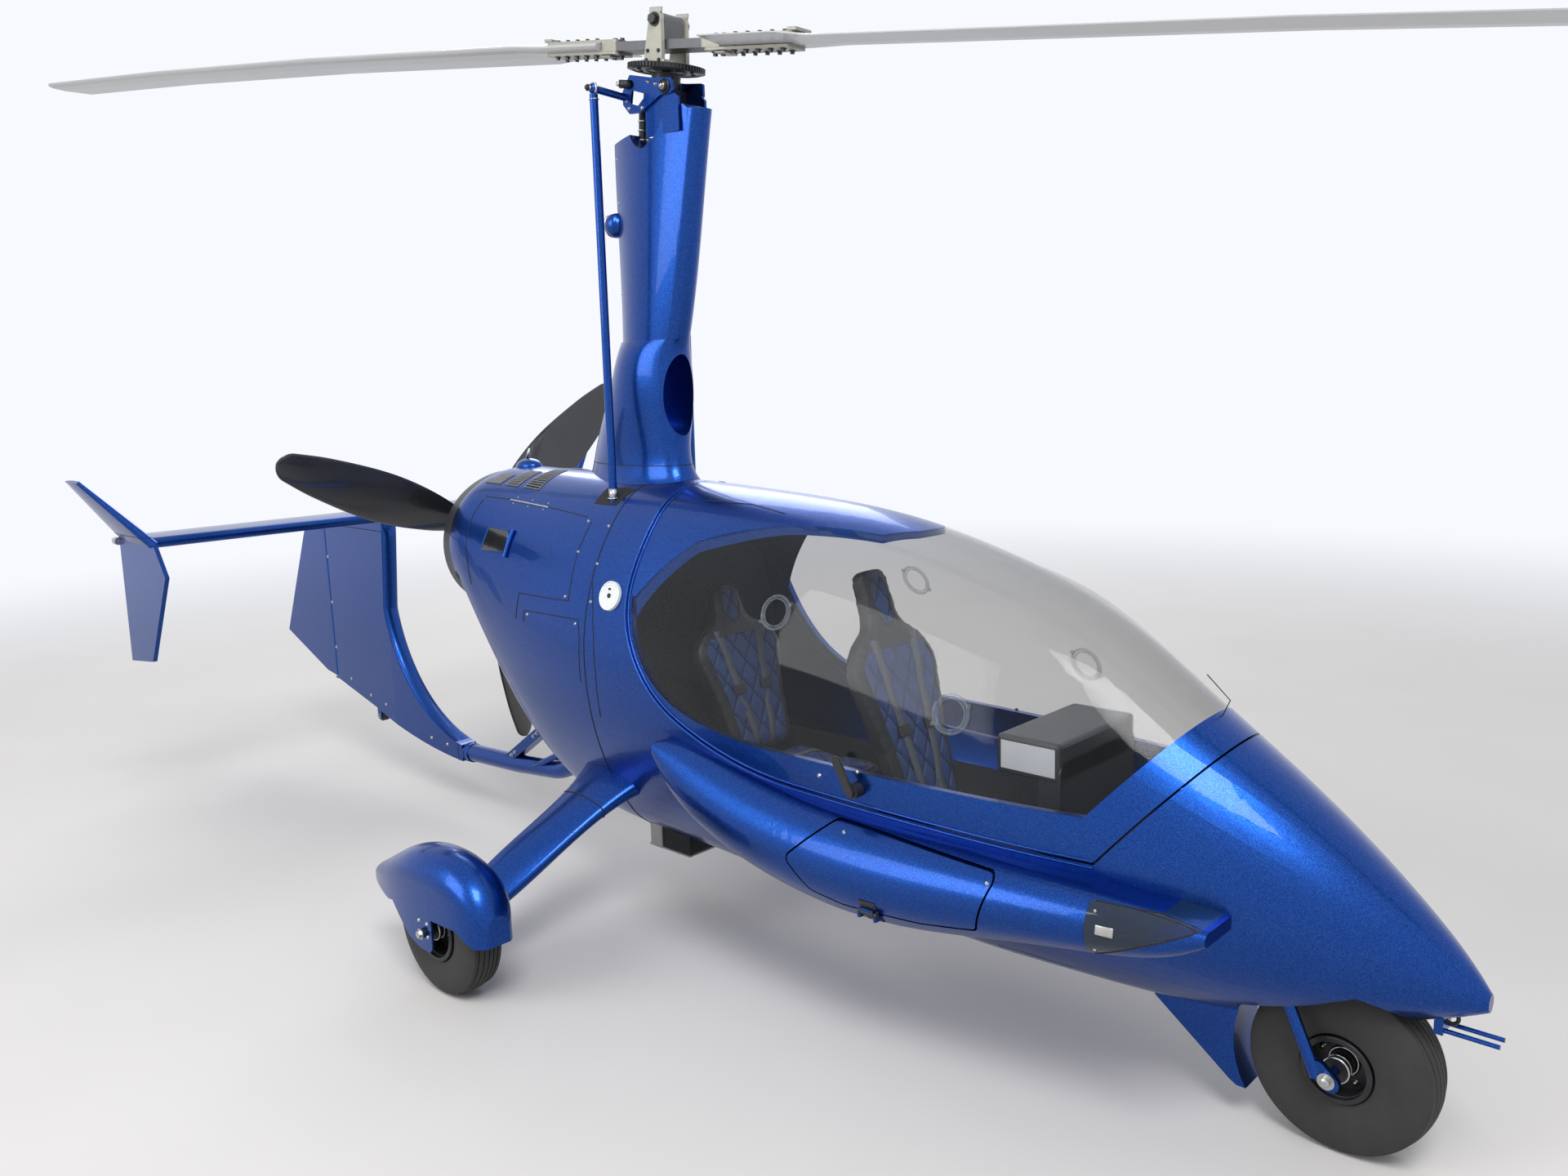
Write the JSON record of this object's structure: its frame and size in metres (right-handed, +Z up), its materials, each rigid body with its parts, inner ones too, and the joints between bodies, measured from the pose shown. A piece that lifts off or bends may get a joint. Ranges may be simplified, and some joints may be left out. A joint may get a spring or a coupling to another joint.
{
  "type": "gyrocopter",
  "caption": "Enclosed tandem-seat gyrocopter with a teetering rotor, a pusher propeller, a hinged canopy, faired wheels and a tail on a keel tube.",
  "frame": {"origin": "on the ground below the rotor hub, on the centre line", "axes": "+X is the aircraft's left, +Y is aft, +Z is up; the wheels stand on z = 0"},
  "size_m": [2.3116, 8.3069, 3.2609],
  "materials": {
    "body_paint": "metallic blue lacquer",
    "rod_paint": "blue lacquer",
    "clear": "polished",
    "black_plastic": "matt",
    "dark_plastic": "satin",
    "engine_block": "matt",
    "carbon": "satin",
    "blade_white": "satin",
    "bare_aluminium": "satin",
    "dark_aluminium": "satin",
    "steel": "brushed",
    "cap_white": "gloss",
    "lamp_lens": "polished",
    "tyre_rubber": "matt",
    "roller_rubber": "matt",
    "seat_fabric": "woven"
  },
  "bodies": {
    "airframe": {"fuselage": "body_paint", "engine_cowl": "body_paint", "cowl_ring": "dark_plastic", "canopy_hinges": "dark_aluminium", "side_pod_right": "body_paint", "side_pod_left": "body_paint", "pod_lens_right": "clear", "pod_lens_left": "clear", "mast": "body_paint", "mast_scoop": "body_paint", "mast_lamp": "lamp_lens", "engine": "engine_block", "bulkhead": "dark_plastic", "cabin_floor": "dark_plastic", "front_seat": "seat_fabric", "rear_seat": "seat_fabric", "instrument_panel": "dark_plastic", "control_stick": "black_plastic", "fuel_cap": "cap_white", "radiator": "dark_aluminium", "pitot_rods": "rod_paint", "gear_leg_right": "body_paint", "gear_leg_left": "body_paint", "axle_right": "dark_aluminium", "axle_left": "dark_aluminium", "wheel_spat_right": "body_paint", "wheel_spat_left": "body_paint", "nose_fairing": "body_paint", "keel_tube": "rod_paint", "keel_braces": "dark_aluminium", "fin": "body_paint", "stabiliser": "body_paint", "end_plate_right": "body_paint", "end_plate_left": "body_paint", "gimbal_block": "dark_aluminium", "head_fork": "bare_aluminium", "pushrods": "rod_paint", "control_arms": "rod_paint", "exhaust": "steel"},
    "canopy": {"canopy_frame": "body_paint", "canopy_glass": "clear", "canopy_latch": "black_plastic"},
    "right_lid": {"locker_lid_right": "body_paint"},
    "left_lid": {"locker_lid_left": "body_paint"},
    "nose_steering": {"nose_fork": "rod_paint"},
    "nose_wheel": {"nose_tyre": "tyre_rubber", "nose_rim": "dark_aluminium"},
    "right_wheel": {"main_tyre_right": "tyre_rubber", "main_rim_right": "dark_aluminium"},
    "left_wheel": {"main_tyre_left": "tyre_rubber", "main_rim_left": "dark_aluminium"},
    "roller": {"tail_roller": "roller_rubber"},
    "rotor_head": {"ring_gear": "dark_aluminium", "teeter_tower": "bare_aluminium"},
    "rotor": {"hub_bar": "bare_aluminium", "rotor_blades": "blade_white"},
    "propeller": {"propeller_hub": "bare_aluminium", "propeller_blades": "carbon"},
    "rudder": {"rudder": "body_paint"}
  },
  "joints": [
    {"name": "canopy_hinge", "type": "hinge", "parent": "airframe", "child": "canopy", "pos_m": [0.386, -0.9, 0.7], "axis": [0, 1, 0], "range_deg": [0, 65]},
    {"name": "right_lid_hinge", "type": "hinge", "parent": "airframe", "child": "right_lid", "pos_m": [-0.452, -1.09, 0.418], "axis": [0, -1, 0], "range_deg": [0, 75]},
    {"name": "left_lid_hinge", "type": "hinge", "parent": "airframe", "child": "left_lid", "pos_m": [0.452, -1.09, 0.418], "axis": [0, 1, 0], "range_deg": [0, 75]},
    {"name": "nose_steer", "type": "hinge", "parent": "airframe", "child": "nose_steering", "pos_m": [0, -1.937, 0.446], "axis": [0, 0.4019, 0.9157], "range_deg": [-15, 15]},
    {"name": "nose_wheel_spin", "type": "hinge", "parent": "nose_steering", "child": "nose_wheel", "pos_m": [0, -2.07, 0.2], "axis": [1, 0, 0], "continuous": true},
    {"name": "right_wheel_spin", "type": "hinge", "parent": "airframe", "child": "right_wheel", "pos_m": [-0.896, 0.102, 0.2], "axis": [1, 0, 0], "continuous": true},
    {"name": "left_wheel_spin", "type": "hinge", "parent": "airframe", "child": "left_wheel", "pos_m": [0.896, 0.102, 0.2], "axis": [1, 0, 0], "continuous": true},
    {"name": "tail_roller_spin", "type": "hinge", "parent": "airframe", "child": "roller", "pos_m": [0, 2.068, 0.284], "axis": [1, 0, 0], "continuous": true},
    {"name": "rotor_spin", "type": "hinge", "parent": "airframe", "child": "rotor_head", "pos_m": [0, 0, 2.699], "axis": [0, -0.1461, 0.9893], "continuous": true},
    {"name": "rotor_teeter", "type": "hinge", "parent": "rotor_head", "child": "rotor", "pos_m": [0, -0.00964, 2.76429], "axis": [-0.9969, -0.0776, -0.0115], "range_deg": [-8, 8]},
    {"name": "propeller_spin", "type": "hinge", "parent": "airframe", "child": "propeller", "pos_m": [0, 1.158, 1.166], "axis": [0, 1, 0], "continuous": true},
    {"name": "rudder_hinge", "type": "hinge", "parent": "airframe", "child": "rudder", "pos_m": [0, 2.45, 0.76], "axis": [0, 0, 1], "range_deg": [-25, 25]}
  ]
}
